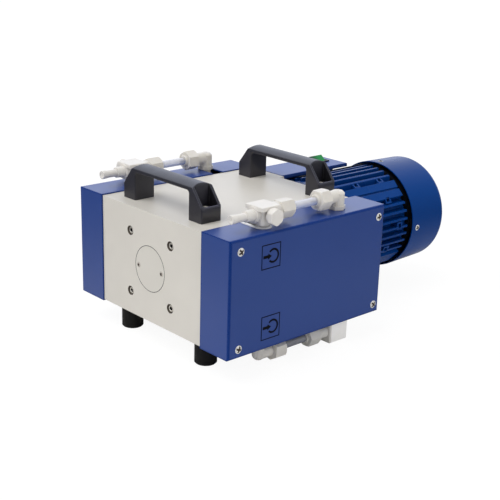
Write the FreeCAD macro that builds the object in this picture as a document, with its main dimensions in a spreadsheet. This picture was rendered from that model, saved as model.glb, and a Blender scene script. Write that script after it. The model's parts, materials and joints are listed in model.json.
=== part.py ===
import FreeCAD, Part
import os
import re

import Sketcher
from FreeCAD import Placement, Rotation, Vector

# Four-cylinder diaphragm vacuum pump, in millimetres.
# X runs across the machine, Y from the crankcase front to the motor, Z up from the floor.
# The written pieces have the middle of the machine's length at Y = 0.

SIZES = {
    # crankcase
    "caseWidth": 200,
    "caseDepth": 258,
    "caseHeight": 142.4,
    "caseWall": 14,
    "caseFloor": 12,
    "shaftHeight": 70,
    "reliefDrop": 3.6,
    "reliefDepth": 8,
    "reliefStart": 33,
    "boltSpanX": 81,
    "boltSpanZ": 80.2,
    "boltSinkRadius": 6.2,
    "boltSinkDepth": 8,
    "discRadius": 29.2,
    "discThickness": 4,
    "discGap": 0.4,
    # rubber feet
    "footHeight": 36,
    "footRadius": 14.2,
    "footChamfer": 1.5,
    "footSpanX": 152,
    "footFrontY": 28.3,
    "footRearInset": 30,
    # sheet covers over the heads
    "coverWidth": 51,
    "sheet": 1.5,
    "bendRadius": 3.2,
    "slotRadius": 9.15,
    # diaphragm heads
    "frontHeadY": 67.8,
    "rearHeadInset": 64,
    "lowerPortShift": 5,
    "valvePlate": 24,
    "pressPlate": 15,
    "headMargin": 12,
    "ribWidth": 8,
    "ribDepth": 5,
    "membraneRadius": 46,
    "membraneBore": 38,
    "membraneThickness": 2.4,
    "studRadius": 5,
    "discClampRadius": 26,
    "discBevel": 1.5,
    "supportDisc": 5,
    "clampDisc": 4,
    "deadSpace": 0.6,
    "sweepGap": 2,
    "fitGap": 0.2,
    # crank and rods
    "throw": 4,
    "shaftRadius": 10,
    "rotorShaftRadius": 12.5,
    "eccentricRadius": 17,
    "runningGap": 0.05,
    "rodRing": 7,
    "rodWidth": 10,
    "rodSpacing": 1,
    "rodHeight": 14,
    "rodHubRadius": 11,
    "rodHubLength": 14,
    "weightRadius": 34,
    "weightWidth": 6,
    "weightGap": 0.5,
    "bearingRadius": 17.5,
    "bearingWidth": 9,
    # motor
    "flangeThickness": 12,
    "flangeRadius": 70,
    "frameLength": 142,
    "frameRadius": 63,
    "frameBore": 56,
    "finRadius": 74,
    "finSetback": 6.5,
    "finPitch": 11,
    "finThickness": 3,
    "finsPerSide": 9,
    "padRadius": 73.6,
    "padWidth": 26,
    "padGrooveWidth": 3,
    "padGrooveDepth": 2.2,
    "bossSize": 11,
    "bossSink": 0.6,
    "bossHollow": 6,
    "bossHollowDepth": 5,
    "coreLength": 96,
    "rotorRadius": 36,
    "airGap": 0.4,
    "rearShield": 12,
    "cowlOverlap": 0,
    "cowlRimRadius": 78.5,
    "cowlEndRadius": 76.4,
    "cowlLength": 76,
    "cowlSheet": 1.3,
    "cowlRounding": 9,
    "lugWidth": 14,
    "grilleInner": 20,
    "grilleOuter": 58,
    "grilleSlot": 4,
    "grilleCount": 24,
    "fanHubRadius": 16,
    "fanHubLength": 24,
    "fanRadius": 62,
    "fanDisc": 2.5,
    "bladeThickness": 2.5,
    "bladeHeight": 20,
    "bladeCount": 8,
    "fanGap": 10,
    # switch box on the motor
    "lidLeft": 100,
    "lidRight": 38,
    "lidLength": 133.5,
    "lidThickness": 5,
    "lidBevel": 8,
    "lidBevelDrop": 2.6,
    "lidRounding": 1.4,
    "lidBehindCase": 1.5,
    "boxLeft": 96,
    "boxRight": 58,
    "boxLength": 124.5,
    "boxWall": 2.5,
    "roomLow": 6.25,
    "roomHigh": 1.25,
    "switchX": 76.4,
    "switchSetback": 104.3,
    "bezelWidth": 30.4,
    "bezelLength": 29.4,
    "bezelRim": 1.8,
    "bezelSide": 1.6,
    "bezelDepth": 11,
    "rockerWidth": 23,
    "rockerRadius": 12.6,
    "rockerEnd": 2,
    "rockerMiddle": 9.6,
    "rockerDrop": 1.4,
    "rockerSkirt": 3,
    "rockerGap": 0.4,
    "rockerPin": 1.5,
    "rockerTilt": 10,
    "glandRadius": 9,
    "glandLength": 12,
    "glandBevel": 4.8,
    "glandBore": 4,
    "glandX": 82,
    "glandHeight": 146,
    # handles
    "handleLength": 156,
    "handleDepth": 30.4,
    "frontHandleY": 33.7,
    "rearHandleInset": 28.6,
    "handleShift": 1.9,
    "postWidth": 24.8,
    "kneeHeight": 17.4,
    "handleRun": 21,
    "gripUnder": 36,
    "gripTop": 44.2,
    "crownRadius": 30.1,
    "pocketWidth": 18.4,
    "pocketFloor": 8,
    "pocketWall": 3.2,
    "pocketInner": 18.5,
    "handleRounding": 1.6,
    "handleKnee": 4,
    # fluid fittings
    "fittingX": 128,
    "upperLine": 18.1,
    "lowerLine": 18,
    "teeWidth": 30,
    "teeDepth": 30,
    "teePlate": 5.5,
    "teeTop": 11.1,
    "teeRounding": 1.2,
    "teeBody": 23,
    "teeBodyRounding": 4.5,
    "teeLift": 4.6,
    "stemRadius": 7.4,
    "nozzleLength": 38.4,
    "nozzleTip": 5.4,
    "nozzleTipLength": 6,
    "nozzleEase": 3,
    "nozzleWaist": 4.9,
    "nozzleStep": 6.8,
    "nozzleRoot": 7.3,
    "nozzleStepLength": 11,
    "nozzleCollar": 9.6,
    "nozzleCollarLength": 5.2,
    "nozzleBore": 3.6,
    "plugCollar": 9.2,
    "plugCollarLength": 2.8,
    "plugHexRadius": 10.6,
    "plugHexLength": 7,
    "plugBevel": 1,
    "tubeRadius": 5,
    "tubeWall": 1,
    "nutRadius": 12.2,
    "nutLength": 21,
    "nutBevel": 1.4,
    "nutNeck": 10.2,
    "nutNeckLength": 11.2,
    "nutNose": 6.8,
    "nutNoseLength": 2.6,
    "bigNutRadius": 13.5,
    "bigNutLength": 17,
    "elbowRadius": 9,
    "elbowCrown": 7,
    "elbowDome": 2.6,
    "elbowNeck": 8.1,
    "elbowNeckLength": 28.7,
    "elbowHexRadius": 11,
    "elbowHexHeight": 5,
    "lowBallRadius": 8,
    "lowArmRadius": 7.6,
    "lowNutRadius": 13.8,
    "lowNutLength": 17.8,
    "lowNutStart": 19.5,
    "lowRearNutRadius": 12.6,
    "lowRearNutLength": 19.2,
    "outletWidth": 21,
    "outletNeckLength": 15.3,
    "outletRounding": 1.6,
    "outletLength": 32.5,
    "outletHeight": 29.4,
    "outletBore": 5.9,
    "outletBoreDepth": 12,
}

doc = FreeCAD.newDocument("VacuumPump")
sheet = doc.addObject("Spreadsheet::Sheet", "sizes")
for row, (alias, value) in enumerate(SIZES.items(), 1):
    sheet.set("A%d" % row, alias)
    sheet.set("B%d" % row, str(value))
    sheet.setAlias("B%d" % row, alias)
doc.recompute()

FUNCTIONS = {"cos", "sin", "tan", "sqrt"}
PLANES = {"XY": "XY_Plane", "XZ": "XZ_Plane", "YZ": "YZ_Plane"}
TURNS = {
    "X": Rotation(Vector(0, 1, 0), 90),
    "Y": Rotation(Vector(1, 0, 0), -90),
    "Z": Rotation(),
}

MIDDLE = "(caseDepth + flangeThickness + frameLength + cowlLength - cowlOverlap - sheet) / 2"
DECK = "footHeight + caseHeight"
AXIS = "footHeight + shaftHeight"
FRAME_START = "caseDepth + flangeThickness"
FRAME_END = FRAME_START + " + frameLength"
SIDE = "caseWidth / 2"
STEP = "(rodWidth + rodSpacing) / 2"
REAR_HEAD = "caseDepth - rearHeadInset"
LOW_PORT = REAR_HEAD + " + lowerPortShift"
HEADS = (("front", "frontHeadY"), ("rear", REAR_HEAD))

nodes = []
ahead = {}


def link(text):
    """Turn the plain names of a formula into references to the sheet."""
    def named(found):
        word = found.group(0)
        return word if word in FUNCTIONS else "sizes." + word
    return re.sub(r"[A-Za-z_]\w*", named, text)


def read(alias):
    return float(sheet.get(alias))


def bind(thing, **formulas):
    for prop, text in formulas.items():
        thing.setExpression(prop, link(text))


def place(thing, x="0", y="0", z="0", turn=Rotation()):
    thing.Placement = Placement(Vector(), turn)
    thing.setExpression("Placement.Base.x", link(x))
    thing.setExpression("Placement.Base.y", link(y))
    thing.setExpression("Placement.Base.z", link(z))
    ahead[thing.Name] = y
    return thing


def box(name, x, y, z, length, width, height):
    thing = doc.addObject("Part::Box", name)
    bind(thing, Length=length, Width=width, Height=height)
    return place(thing, x, y, z)


def rod(name, axis, x, y, z, radius, length):
    thing = doc.addObject("Part::Cylinder", name)
    bind(thing, Radius=radius, Height=length)
    return place(thing, x, y, z, TURNS[axis])


def hexagon(name, axis, x, y, z, radius, length, spin=0):
    thing = doc.addObject("Part::Prism", name)
    thing.Polygon = 6
    bind(thing, Circumradius=radius, Height=length)
    return place(thing, x, y, z, TURNS[axis] * Rotation(Vector(0, 0, 1), spin))


def fuse(name, *pieces):
    thing = doc.addObject("Part::MultiFuse", name)
    thing.Shapes = list(pieces)
    thing.Refine = True
    return thing


def cut(name, base, *tools):
    thing = doc.addObject("Part::Cut", name)
    thing.Base = base
    thing.Tool = tools[0] if len(tools) == 1 else fuse(name + "_tools", *tools)
    return thing


def common(name, first, second):
    thing = doc.addObject("Part::Common", name)
    thing.Base = first
    thing.Tool = second
    return thing


def outline(body, name, plane, points):
    """Closed sketch of straight edges, every corner held by two formulas."""
    sketch = body.newObject("Sketcher::SketchObject", name)
    role = PLANES[plane]
    base = [item for item in body.Origin.OriginFeatures if item.Role == role][0]
    sketch.AttachmentSupport = [(base, "")]
    sketch.MapMode = "FlatFace"
    count = len(points)
    ring = [Vector(50, 0, 0)]
    for _ in range(count - 1):
        ring.append(Rotation(Vector(0, 0, 1), 360 / count) * ring[-1])
    for number in range(count):
        sketch.addGeometry(Part.LineSegment(ring[number], ring[(number + 1) % count]), False)
    for number in range(count):
        following = (number + 1) % count
        sketch.addConstraint(Sketcher.Constraint("Coincident", number, 2, following, 1))
    for number, (across, up) in enumerate(points):
        start = ring[number]
        first = sketch.addConstraint(
            Sketcher.Constraint("DistanceX", -1, 1, number, 1, start.x))
        sketch.setExpression("Constraints[%d]" % first, link(across))
        second = sketch.addConstraint(
            Sketcher.Constraint("DistanceY", -1, 1, number, 1, start.y))
        sketch.setExpression("Constraints[%d]" % second, link(up))
    return sketch


def extrusion(name, plane, points, length, x="0", y="0", z="0", turn=Rotation()):
    """Outline padded along +X, +Y or +Z from its plane."""
    body = doc.addObject("PartDesign::Body", name)
    sketch = outline(body, name + "_outline", plane, points)
    pad = body.newObject("PartDesign::Pad", name + "_pad")
    pad.Profile = sketch
    pad.Reversed = plane == "XZ"
    bind(pad, Length=length)
    return place(body, x, y, z, turn)


def turned(name, axis, points, x="0", y="0", z="0", turn=Rotation()):
    """Outline of (along the axis, radius) points turned about X, Y or Z."""
    body = doc.addObject("PartDesign::Body", name)
    plane = "YZ" if axis == "Y" else "XZ"
    if axis == "Z":
        points = [(radius, along) for along, radius in points]
    sketch = outline(body, name + "_outline", plane, points)
    lathe = body.newObject("PartDesign::Revolution", name + "_turn")
    lathe.Profile = sketch
    lathe.ReferenceAxis = (sketch, ["V_Axis" if axis == "Z" else "H_Axis"])
    lathe.Angle = 360
    return place(body, x, y, z, turn)


def round_edges(body, radius, chosen):
    """Fillet those edges of a body that the test picks."""
    doc.recompute()
    base = body.Tip
    names = []
    for number, edge in enumerate(base.Shape.Edges, 1):
        if chosen(edge):
            names.append("Edge%d" % number)
    fillet = body.newObject("PartDesign::Fillet", body.Name + "_rounding")
    fillet.Base = (base, names)
    bind(fillet, Radius=radius)
    body.Tip = fillet
    return body


def along(edge, axis):
    """Whether a straight edge runs along the axis."""
    if not isinstance(edge.Curve, Part.Line):
        return False
    return abs(abs(edge.Curve.Direction.dot(axis)) - 1) < 1e-6


def publish(name, thing):
    """Name a finished piece and set the middle of the length at Y = 0."""
    thing.Label = name
    start = ahead.get(thing.Name, "0")
    thing.setExpression("Placement.Base.y", link("%s - %s" % (start, MIDDLE)))
    nodes.append(thing)
    return thing


ALONG_X = Vector(1, 0, 0)
ALONG_Y = Vector(0, 1, 0)
ALONG_Z = Vector(0, 0, 1)
HALF_TURN = Rotation(Vector(0, 0, 1), 180)

# The crankcase is one block, hollow inside and bored for the heads and the crank.
block = box("block", "-" + SIDE, "0", "footHeight", "caseWidth", "caseDepth", "caseHeight")
hollow = box(
    "hollow", "caseWall - " + SIDE, "caseWall", "footHeight + caseFloor",
    "caseWidth - 2 * caseWall", "caseDepth - 2 * caseWall", "caseHeight - 2 * caseFloor")
head_bores = [
    rod("head_bore_" + label, "X", "-" + SIDE, station, AXIS, "membraneBore", "caseWidth")
    for label, station in HEADS
]
relief = box(
    "relief", "-reliefStart", "caseDepth - reliefDepth", DECK + " - reliefDrop",
    "caseWidth / 2 + reliefStart", "reliefDepth", "reliefDrop")
disc_seat = rod("disc_seat", "Y", "0", "0", AXIS, "discRadius + discGap", "discThickness")
bearing_line = rod("bearing_line", "Y", "0", "0", AXIS, "bearingRadius", "caseDepth")
bolt_sinks = [
    rod("bolt_sink_%d" % number, "Y", "%s * boltSpanX / 2" % across, "0",
        AXIS + " + %s * boltSpanZ / 2" % up, "boltSinkRadius", "boltSinkDepth")
    for number, (across, up) in enumerate(((-1, -1), (1, -1), (-1, 1), (1, 1)), 1)
]
crankcase = cut(
    "crankcase", block, hollow, relief, disc_seat, bearing_line, *head_bores, *bolt_sinks)
publish("crankcase", crankcase)

publish("front_disc", rod(
    "front_disc", "Y", "0", "0", AXIS, "discRadius", "discThickness"))

FOOT = [
    ("0", "0"), ("0", "footRadius - footChamfer"), ("footChamfer", "footRadius"),
    ("footHeight", "footRadius"), ("footHeight", "0"),
]
for name, side, station in (
        ("foot_front_left", -1, "footFrontY"),
        ("foot_front_right", 1, "footFrontY"),
        ("foot_rear_left", -1, "caseDepth - footRearInset"),
        ("foot_rear_right", 1, "caseDepth - footRearInset")):
    publish(name, turned(name, "Z", FOOT, "%d * footSpanX / 2" % side, station))


def cover(name, side):
    """Five-sided sheet box, open to the crankcase, with slots for the fittings."""
    shell = extrusion(
        name + "_shell", "XZ",
        [("0", "0"), ("coverWidth", "0"), ("coverWidth", "caseHeight + 2 * sheet"),
         ("0", "caseHeight + 2 * sheet")],
        "caseDepth + 2 * sheet")
    far = read("coverWidth")

    def outer(edge):
        straight = along(edge, ALONG_Y) or along(edge, ALONG_Z)
        return straight and abs(edge.CenterOfMass.x - far) < 1e-6

    round_edges(shell, "bendRadius", outer)
    inside = box(
        name + "_inside", "0", "sheet", "sheet",
        "coverWidth - sheet", "caseDepth", "caseHeight")
    tools = [inside]
    slots = (
        ("front", "frontHeadY", "sheet", DECK),
        ("rear", REAR_HEAD, "sheet", DECK),
        ("low_front", "frontHeadY", "sheet", "footHeight - sheet"),
        ("low_rear", LOW_PORT, "sheet", "footHeight - sheet"),
    )
    for label, station, height, level in slots:
        middle = station if side > 0 else "caseDepth - (%s)" % station
        base = "%s - footHeight + sheet" % level
        tools.append(box(
            name + "_slot_" + label, "0", "%s - slotRadius + sheet" % middle, base,
            "fittingX - caseWidth / 2", "2 * slotRadius", height))
        tools.append(rod(
            name + "_slot_end_" + label, "Z", "fittingX - caseWidth / 2",
            "%s + sheet" % middle, base, "slotRadius", height))
    made = cut(name, shell, *tools)
    if side > 0:
        place(made, SIDE, "-sheet", "footHeight - sheet")
    else:
        place(made, "-" + SIDE, "caseDepth + sheet", "footHeight - sheet", HALF_TURN)
    return publish(name, made)


cover("right_cover", 1)
cover("left_cover", -1)


def at_side(side, outward):
    """X of a point that lies so far outside the crankcase's side face."""
    return "%d * (%s + (%s))" % (side, SIDE, outward)


HEAD_LENGTH = "caseDepth - 2 * headMargin"
HEAD_HEIGHT = "caseHeight - 2 * headMargin"
CHAMBER = "membraneThickness + throw + clampDisc + deadSpace"


def head(label, side):
    turn = Rotation() if side > 0 else HALF_TURN
    corner = "headMargin" if side > 0 else "caseDepth - headMargin"
    plate = box(
        label + "_plate_blank", at_side(side, "0"), corner, "footHeight + headMargin",
        "valvePlate", HEAD_LENGTH, HEAD_HEIGHT)
    plate.Placement = Placement(Vector(), turn)
    chamber = [
        ("0", "0"), ("0", "membraneRadius + fitGap"),
        ("membraneThickness", "membraneRadius + fitGap"),
        ("membraneThickness", "membraneBore"),
        (CHAMBER, "discClampRadius + throw + sweepGap"), (CHAMBER, "0"),
    ]
    tools = []
    for row_name, station in HEADS:
        tools.append(turned(
            "%s_chamber_%s" % (label, row_name), "X", chamber,
            at_side(side, "0"), station, AXIS, turn))
    publish("valve_plate_" + label, cut("valve_plate_" + label, plate, *tools))

    cap = box(
        label + "_cap_blank", at_side(side, "valvePlate"), corner,
        "footHeight + headMargin", "pressPlate", HEAD_LENGTH, HEAD_HEIGHT)
    cap.Placement = Placement(Vector(), turn)
    grooves = []
    for number in range(1, 6):
        station = "headMargin + (%s) * %d / 6 - ribWidth / 2" % (HEAD_LENGTH, number)
        if side < 0:
            station += " + ribWidth"
        groove = box(
            "%s_groove_%d" % (label, number),
            at_side(side, "valvePlate + pressPlate - ribDepth"), station,
            "footHeight + headMargin", "ribDepth", "ribWidth", HEAD_HEIGHT)
        groove.Placement = Placement(Vector(), turn)
        grooves.append(groove)
    publish("pressure_plate_" + label, cut("pressure_plate_" + label, cap, *grooves))


head("right", 1)
head("left", -1)


def stroke(side, lead, text):
    """Outward distance with the piston's travel at rest added."""
    return "%s %s throw" % (text, "+" if side * lead > 0 else "-")


for (place_name, station), lead in zip(HEADS, (1, -1)):
    for side_name, side in (("right", 1), ("left", -1)):
        turn = Rotation() if side > 0 else HALF_TURN
        moved = stroke(side, lead, "0")
        skin = turned(
            "membrane_%s_%s" % (place_name, side_name), "X",
            [("0", "membraneRadius"), ("membraneThickness", "membraneRadius"),
             ("membraneThickness", "membraneBore"),
             ("membraneThickness + " + moved, "discClampRadius"),
             ("membraneThickness + " + moved, "studRadius + fitGap"),
             (moved, "studRadius + fitGap"), (moved, "discClampRadius"),
             ("0", "membraneBore")],
            at_side(side, "0"), station, AXIS, turn)
        publish("diaphragm_%s_%s" % (place_name, side_name), skin)

        # The rod's big end rides beside its opposite number, its hub on the head's axis.
        label = "rod_%s_%s" % (place_name, side_name)
        ring_y = "%s + %d * (%s) - rodWidth / 2" % (station, side, STEP)
        centre = "%d * throw" % lead
        ring = rod(
            label + "_ring", "Y", centre, ring_y, AXIS,
            "eccentricRadius + runningGap + rodRing", "rodWidth")
        reach = "%s - supportDisc + (%s) - (%s)" % (SIDE, moved, "%d * throw" % (side * lead))
        stem = box(
            label + "_stem", centre if side > 0 else "%s - (%s)" % (centre, reach),
            ring_y, AXIS + " - rodHeight / 2", reach, "rodWidth", "rodHeight")
        spindle = turned(
            label + "_spindle", "X",
            [("-supportDisc - rodHubLength", "0"),
             ("-supportDisc - rodHubLength", "rodHubRadius"),
             ("-supportDisc", "rodHubRadius"), ("-supportDisc", "discClampRadius"),
             ("0", "discClampRadius"), ("0", "studRadius"),
             ("membraneThickness", "studRadius"), ("membraneThickness", "discClampRadius"),
             ("membraneThickness + clampDisc", "discClampRadius - discBevel"),
             ("membraneThickness + clampDisc", "0")],
            at_side(side, moved), station, AXIS, turn)
        eye = rod(
            label + "_eye", "Y", centre, ring_y, AXIS,
            "eccentricRadius + runningGap", "rodWidth")
        publish(label, cut(label, fuse(label + "_solid", ring, stem, spindle), eye))

# The crank turns in three bearings; its two throws lie opposite each other.
SHAFT_FRONT = "discThickness + sweepGap"
SHAFT_END = FRAME_END + " + rearShield + fanGap + fanHubLength"
publish("shaft", turned(
    "shaft", "Y",
    [(SHAFT_FRONT, "0"), (SHAFT_FRONT, "shaftRadius"), ("caseDepth", "shaftRadius"),
     ("caseDepth", "rotorShaftRadius"), (FRAME_END, "rotorShaftRadius"),
     (FRAME_END, "shaftRadius"), (SHAFT_END, "shaftRadius"), (SHAFT_END, "0")],
    "0", "0", AXIS))

for (label, station), lead in zip(HEADS, (1, -1)):
    cam = rod(
        "cam_" + label, "Y", "%d * throw" % lead, "%s - rodWidth - rodSpacing / 2" % station,
        AXIS, "eccentricRadius", "2 * rodWidth + rodSpacing + weightGap")
    weight = doc.addObject("Part::Cylinder", "weight_" + label)
    weight.Angle = 180
    bind(weight, Radius="weightRadius", Height="weightWidth")
    place(weight, "0", "%s + rodWidth + rodSpacing / 2 + weightGap" % station, AXIS,
          TURNS["Y"] * Rotation(Vector(0, 0, 1), 90 * lead))
    collar = rod(
        "weight_hub_" + label, "Y", "0",
        "%s + rodWidth + rodSpacing / 2 + weightGap" % station, AXIS,
        "eccentricRadius", "weightWidth")
    through = rod(
        "cam_bore_" + label, "Y", "0", "%s - rodWidth - rodSpacing / 2" % station, AXIS,
        "shaftRadius", "2 * rodWidth + rodSpacing + weightGap + weightWidth")
    publish("eccentric_" + label, cut(
        "eccentric_" + label, fuse("cam_solid_" + label, cam, weight, collar), through))


def ring_bearing(name, start):
    publish(name, turned(
        name, "Y",
        [("0", "shaftRadius + runningGap"), ("0", "bearingRadius"),
         ("bearingWidth", "bearingRadius"), ("bearingWidth", "shaftRadius + runningGap")],
        "0", start, AXIS))


ring_bearing("bearing_front", "caseWall - bearingWidth")
ring_bearing("bearing_middle", "caseDepth - bearingWidth")
ring_bearing("bearing_rear", FRAME_END + " + rearShield - bearingWidth")

# The motor: drive flange, finned frame, core, rear shield, fan and cowl.
publish("drive_flange", turned(
    "drive_flange", "Y",
    [("0", "rotorShaftRadius + 2 * airGap"), ("0", "flangeRadius"),
     ("flangeThickness", "flangeRadius"),
     ("flangeThickness", "rotorShaftRadius + 2 * airGap")],
    "0", "caseDepth", AXIS))

FRAME_MIDDLE = FRAME_START + " + frameLength / 2"
FIN_LENGTH = "frameLength - finSetback"
tube = rod("frame_tube", "Y", "0", FRAME_START, AXIS, "frameRadius", "frameLength")
fins = []
count = int(read("finsPerSide"))
for number in range(count):
    offset = "(%d - (%d - 1) / 2) * finPitch" % (number, count)
    fins.append(box(
        "fin_up_%d" % (number + 1), "%s - finThickness / 2" % offset, FRAME_START,
        AXIS + " - finRadius", "finThickness", FIN_LENGTH, "2 * finRadius"))
    fins.append(box(
        "fin_side_%d" % (number + 1), "-finRadius", FRAME_START,
        AXIS + " + %s - finThickness / 2" % offset, "2 * finRadius", FIN_LENGTH,
        "finThickness"))
fin_limit = rod("fin_limit", "Y", "0", FRAME_START, AXIS, "finRadius", "frameLength")
finned = common("finned", fuse("fin_grid", tube, *fins), fin_limit)

pads = extrusion(
    "pads_a", "XZ",
    [("-padRadius", "-padWidth / 2"), ("padRadius", "-padWidth / 2"),
     ("padRadius", "padWidth / 2"), ("-padRadius", "padWidth / 2")],
    FIN_LENGTH, "0", FRAME_START, AXIS, Rotation(ALONG_Y, 45))
pads_across = extrusion(
    "pads_b", "XZ",
    [("-padRadius", "-padWidth / 2"), ("padRadius", "-padWidth / 2"),
     ("padRadius", "padWidth / 2"), ("-padRadius", "padWidth / 2")],
    FIN_LENGTH, "0", FRAME_START, AXIS, Rotation(ALONG_Y, -45))
pad_groove = extrusion(
    "pad_groove", "XZ",
    [("padRadius - padGrooveDepth", "-padGrooveWidth / 2"),
     ("padRadius + padGrooveDepth", "-padGrooveWidth / 2"),
     ("padRadius + padGrooveDepth", "padGrooveWidth / 2"),
     ("padRadius - padGrooveDepth", "padGrooveWidth / 2")],
    "frameLength", "0", FRAME_START, AXIS, Rotation(ALONG_Y, -45))
bosses = []
hollows = []
for number, (angle, share) in enumerate(
        ((60, 0.39), (60, 0.74), (34, 0.69), (2, 0.8), (-25, 0.66), (120, 0.6), (205, 0.6)), 1):
    boss_start = FRAME_START + " + frameLength * %s" % share
    bosses.append(extrusion(
        "boss_%d" % number, "XZ",
        [("0", "-bossSize / 2"), ("finRadius - bossSink", "-bossSize / 2"),
         ("finRadius - bossSink", "bossSize / 2"), ("0", "bossSize / 2")],
        "bossSize", "0", boss_start, AXIS, Rotation(ALONG_Y, -angle)))
    hollows.append(extrusion(
        "boss_hollow_%d" % number, "XZ",
        [("finRadius - bossSink - bossHollowDepth", "-bossHollow / 2"),
         ("finRadius + bossSink", "-bossHollow / 2"),
         ("finRadius + bossSink", "bossHollow / 2"),
         ("finRadius - bossSink - bossHollowDepth", "bossHollow / 2")],
        "bossHollow", "0", boss_start + " + (bossSize - bossHollow) / 2", AXIS,
        Rotation(ALONG_Y, -angle)))
bore = rod("frame_bore", "Y", "0", FRAME_START, AXIS, "frameBore", "frameLength")
publish("motor_frame", cut(
    "motor_frame", fuse("frame_solid", finned, pads, pads_across, *bosses), bore,
    pad_groove, *hollows))

CORE_START = FRAME_MIDDLE + " - coreLength / 2"
publish("stator", turned(
    "stator", "Y",
    [("0", "rotorRadius + airGap"), ("0", "frameBore"), ("coreLength", "frameBore"),
     ("coreLength", "rotorRadius + airGap")],
    "0", CORE_START, AXIS))
publish("rotor", turned(
    "rotor", "Y",
    [("0", "rotorShaftRadius"), ("0", "rotorRadius"), ("coreLength", "rotorRadius"),
     ("coreLength", "rotorShaftRadius")],
    "0", CORE_START, AXIS))

shield = turned(
    "shield_disc", "Y",
    [("0", "0"), ("0", "flangeRadius"), ("rearShield", "flangeRadius"), ("rearShield", "0")],
    "0", FRAME_END, AXIS)
LUG_REACH = "cowlRimRadius - cowlSheet - 1"
lugs = [
    box("lugs_across", "-(%s)" % LUG_REACH, FRAME_END + " + rearShield / 3",
        AXIS + " - lugWidth / 2", "2 * (%s)" % LUG_REACH, "rearShield * 2 / 3", "lugWidth"),
    box("lugs_upright", "-lugWidth / 2", FRAME_END + " + rearShield / 3",
        AXIS + " - (%s)" % LUG_REACH, "lugWidth", "rearShield * 2 / 3",
        "2 * (%s)" % LUG_REACH),
]
shield_bore = rod("shield_bore", "Y", "0", FRAME_END, AXIS, "bearingRadius", "rearShield")
publish("rear_shield", cut(
    "rear_shield", fuse("shield_solid", shield, *lugs), shield_bore))

fan = turned(
    "fan", "Y",
    [("0", "shaftRadius"), ("0", "fanRadius"), ("fanDisc", "fanRadius"),
     ("fanDisc", "fanHubRadius"), ("fanHubLength", "fanHubRadius"),
     ("fanHubLength", "shaftRadius")],
    "0", FRAME_END + " + rearShield + fanGap", AXIS)
doc.recompute()
blade_outline = outline(
    fan, "blade_outline", "XZ",
    [("fanHubRadius - 1", "-bladeThickness / 2"), ("fanRadius - 2", "-bladeThickness / 2"),
     ("fanRadius - 2", "bladeThickness / 2"), ("fanHubRadius - 1", "bladeThickness / 2")])
blade = fan.newObject("PartDesign::Pad", "blade")
blade.Profile = blade_outline
blade.Reversed = True
bind(blade, Length="bladeHeight")
blades = fan.newObject("PartDesign::PolarPattern", "blades")
blades.Originals = [blade]
blades.Axis = (blade_outline, ["N_Axis"])
blades.Angle = 360
bind(blades, Occurrences="bladeCount")
fan.Tip = blades
publish("cooling_fan", fan)

cowl = turned(
    "cowl", "Y",
    [("0", "cowlRimRadius - cowlSheet"), ("0", "cowlRimRadius"),
     ("cowlLength", "cowlEndRadius"), ("cowlLength", "0"),
     ("cowlLength - cowlSheet", "0"),
     ("cowlLength - cowlSheet", "cowlEndRadius - cowlSheet")],
    "0", FRAME_END + " - cowlOverlap", AXIS)
rear_edge = read("cowlLength")
rear_inner = rear_edge - read("cowlSheet")


def outer_corner(edge):
    wide = edge.BoundBox.XLength > read("cowlEndRadius")
    return wide and abs(edge.CenterOfMass.y - rear_edge) < 1e-6


def inner_corner(edge):
    wide = edge.BoundBox.XLength > read("cowlEndRadius")
    return wide and abs(edge.CenterOfMass.y - rear_inner) < 1e-6


round_edges(cowl, "cowlRounding", outer_corner)
round_edges(cowl, "cowlRounding - cowlSheet", inner_corner)
grille_outline = outline(
    cowl, "grille_outline", "XZ",
    [("grilleInner", "-grilleSlot / 2"), ("grilleOuter", "-grilleSlot / 2"),
     ("grilleOuter", "grilleSlot / 2"), ("grilleInner", "grilleSlot / 2")])
grille_slot = cowl.newObject("PartDesign::Pocket", "grille_slot")
grille_slot.Profile = grille_outline
grille_slot.Reversed = False
grille_slot.Type = 1
doc.recompute()
grille = cowl.newObject("PartDesign::PolarPattern", "grille")
grille.Originals = [grille_slot]
grille.Axis = (grille_outline, ["N_Axis"])
grille.Angle = 360
bind(grille, Occurrences="grilleCount")
cowl.Tip = grille
publish("fan_cowl", cowl)

# The switch box lies on the motor's upper left slope, its lid flush with the deck.
LID_TOP = DECK
LID_BASE = DECK + " - lidThickness"
LID_START = "caseDepth + lidBehindCase"
SADDLE = "padRadius * sqrt(2)"
SWITCH = LID_START + " + switchSetback"
switch_shell = extrusion(
    "switch_shell", "XZ",
    [("-boxLeft", "%s - (%s)" % (SADDLE, "boxLeft")), ("-boxRight", "%s - boxRight" % SADDLE),
     ("-boxRight", "%s - (%s)" % (LID_BASE, AXIS)), ("-boxLeft", "%s - (%s)" % (LID_BASE, AXIS))],
    "boxLength", "0", LID_START, AXIS)
switch_room = extrusion(
    "switch_room", "XZ",
    [("boxWall - boxLeft", "%s - boxLeft + roomLow" % SADDLE),
     ("-boxRight - boxWall", "%s - boxRight + roomHigh" % SADDLE),
     ("-boxRight - boxWall", "%s - (%s)" % (LID_BASE, AXIS)),
     ("boxWall - boxLeft", "%s - (%s)" % (LID_BASE, AXIS))],
    "boxLength - 2 * boxWall", "0", LID_START + " + boxWall", AXIS)
gland_hole = rod(
    "gland_hole", "Y", "-glandX", LID_START + " + boxLength - boxWall", "glandHeight",
    "glandBore", "boxWall")
publish("switch_box", cut("switch_box", switch_shell, switch_room, gland_hole))

publish("cable_gland", turned(
    "cable_gland", "Y",
    [("0", "glandBore"), ("0", "glandRadius"), ("glandLength - glandBevel", "glandRadius"),
     ("glandLength", "glandRadius - glandBevel / 2"), ("glandLength", "glandBore")],
    "-glandX", LID_START + " + boxLength", "glandHeight"))

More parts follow.
